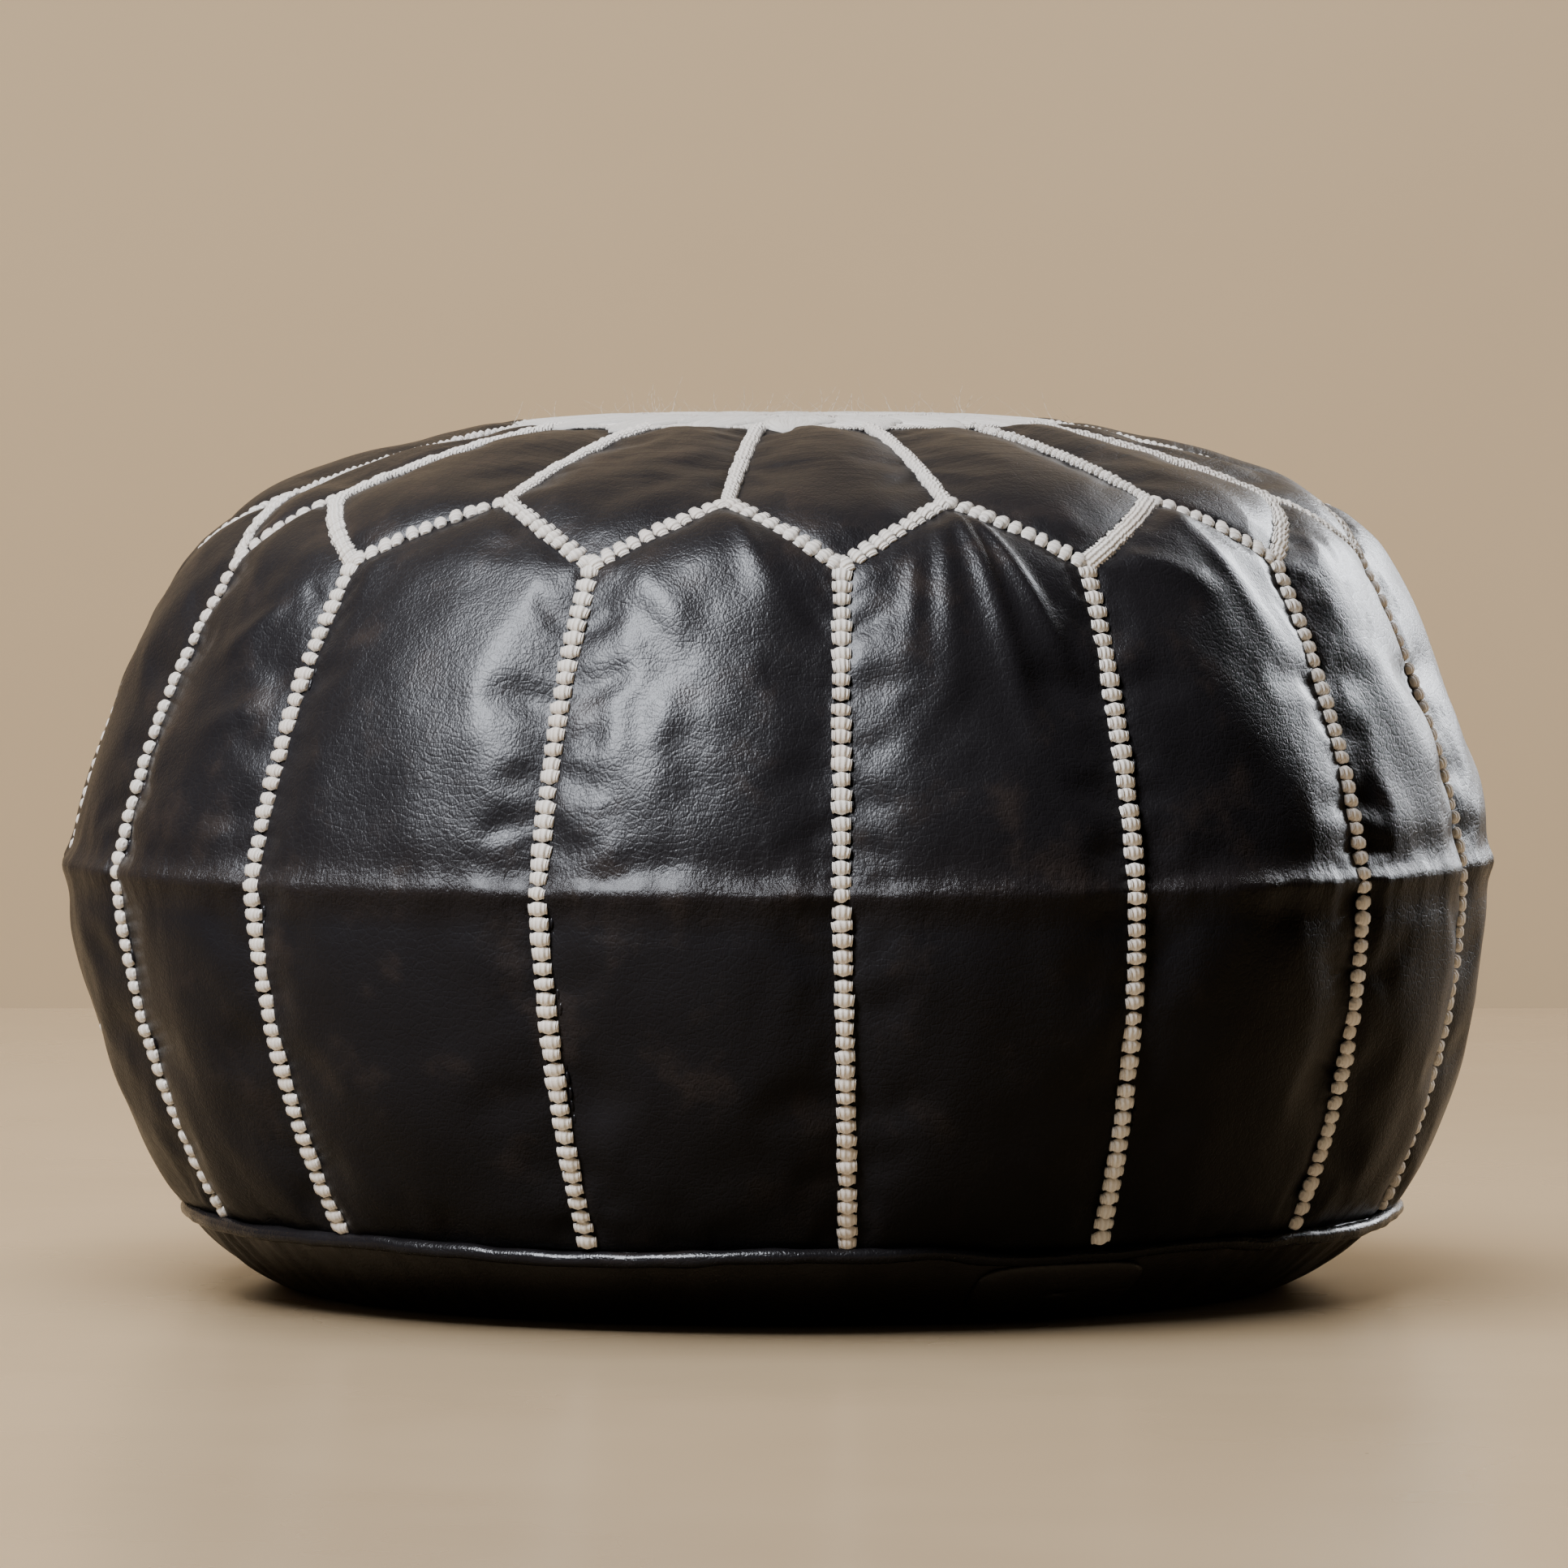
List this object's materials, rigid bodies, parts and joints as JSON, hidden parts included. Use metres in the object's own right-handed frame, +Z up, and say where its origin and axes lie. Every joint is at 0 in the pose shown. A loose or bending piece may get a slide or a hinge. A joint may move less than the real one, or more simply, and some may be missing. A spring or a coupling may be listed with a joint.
{
  "type": "floor pouf",
  "caption": "Round panelled leather floor pouf with overcast stitched seams, an embroidered top medallion, a piped base edge and a zipped base.",
  "frame": {"origin": "centre of the base on the floor plane", "axes": "+Z up, the pouf's axis; the front is towards -Y; +X to the right seen from the front; the zip runs along X"},
  "size_m": [0.5544, 0.5547, 0.3408],
  "materials": {
    "black_leather": "glossy black goat leather, fine grain",
    "base_leather": "black leather, less polished",
    "piping_leather": "glossy black leather wrapped round a cord",
    "patch_leather": "black leather, worn",
    "white_thread": "thick plied thread, natural white",
    "tan_thread": "waxed tan thread",
    "black_thread": "black sewing thread",
    "cord": "twisted cotton cord",
    "zip_tape": "woven black tape",
    "zip_brass": "aged brass",
    "cotton": "unbleached cotton cloth",
    "wadding": "packed cotton wadding and rag"
  },
  "bodies": {
    "pouf": {"base_back_half": "base_leather", "base_front_half": "base_leather", "base_patch": "patch_leather", "base_patch_stitching": "tan_thread", "base_seam_stitching": "black_thread", "insert_cover": "cotton", "medallion_disc": "black_leather", "medallion_embroidery": "white_thread", "medallion_ring_stitching": "white_thread", "piping_cord": "cord", "piping_cover": "piping_leather", "radial_seam_stitching": "white_thread", "side_panel_01": "black_leather", "side_panel_02": "black_leather", "side_panel_03": "black_leather", "side_panel_04": "black_leather", "side_panel_05": "black_leather", "side_panel_06": "black_leather", "side_panel_07": "black_leather", "side_panel_08": "black_leather", "side_panel_09": "black_leather", "side_panel_10": "black_leather", "side_panel_11": "black_leather", "side_panel_12": "black_leather", "side_panel_13": "black_leather", "side_panel_14": "black_leather", "side_panel_15": "black_leather", "side_panel_16": "black_leather", "side_seam_stitching": "white_thread", "stuffing": "wadding", "top_panel_01": "black_leather", "top_panel_02": "black_leather", "top_panel_03": "black_leather", "top_panel_04": "black_leather", "top_panel_05": "black_leather", "top_panel_06": "black_leather", "top_panel_07": "black_leather", "top_panel_08": "black_leather", "top_panel_09": "black_leather", "top_panel_10": "black_leather", "top_panel_11": "black_leather", "top_panel_12": "black_leather", "top_panel_13": "black_leather", "top_panel_14": "black_leather", "top_panel_15": "black_leather", "top_panel_16": "black_leather", "zigzag_seam_stitching": "white_thread", "zip_bottom_stop": "zip_brass", "zip_stitching": "black_thread", "zip_tape_back": "zip_tape", "zip_tape_front": "zip_tape", "zip_teeth_back": "zip_brass", "zip_teeth_front": "zip_brass", "zip_top_stop": "zip_brass"},
    "slider": {"zip_slider": "zip_brass"},
    "pull_tab": {"zip_pull_tab": "zip_brass"}
  },
  "joints": [
    {"name": "zip_slider_travel", "type": "slide", "parent": "pouf", "child": "slider", "axis": [1, 0, 0], "range_m": [0, 0.277]},
    {"name": "pull_tab_hinge", "type": "hinge", "parent": "slider", "child": "pull_tab", "pos_m": [-0.1386, 0, 0.0043], "axis": [0, 1, 0], "range_deg": [0, 165]}
  ]
}
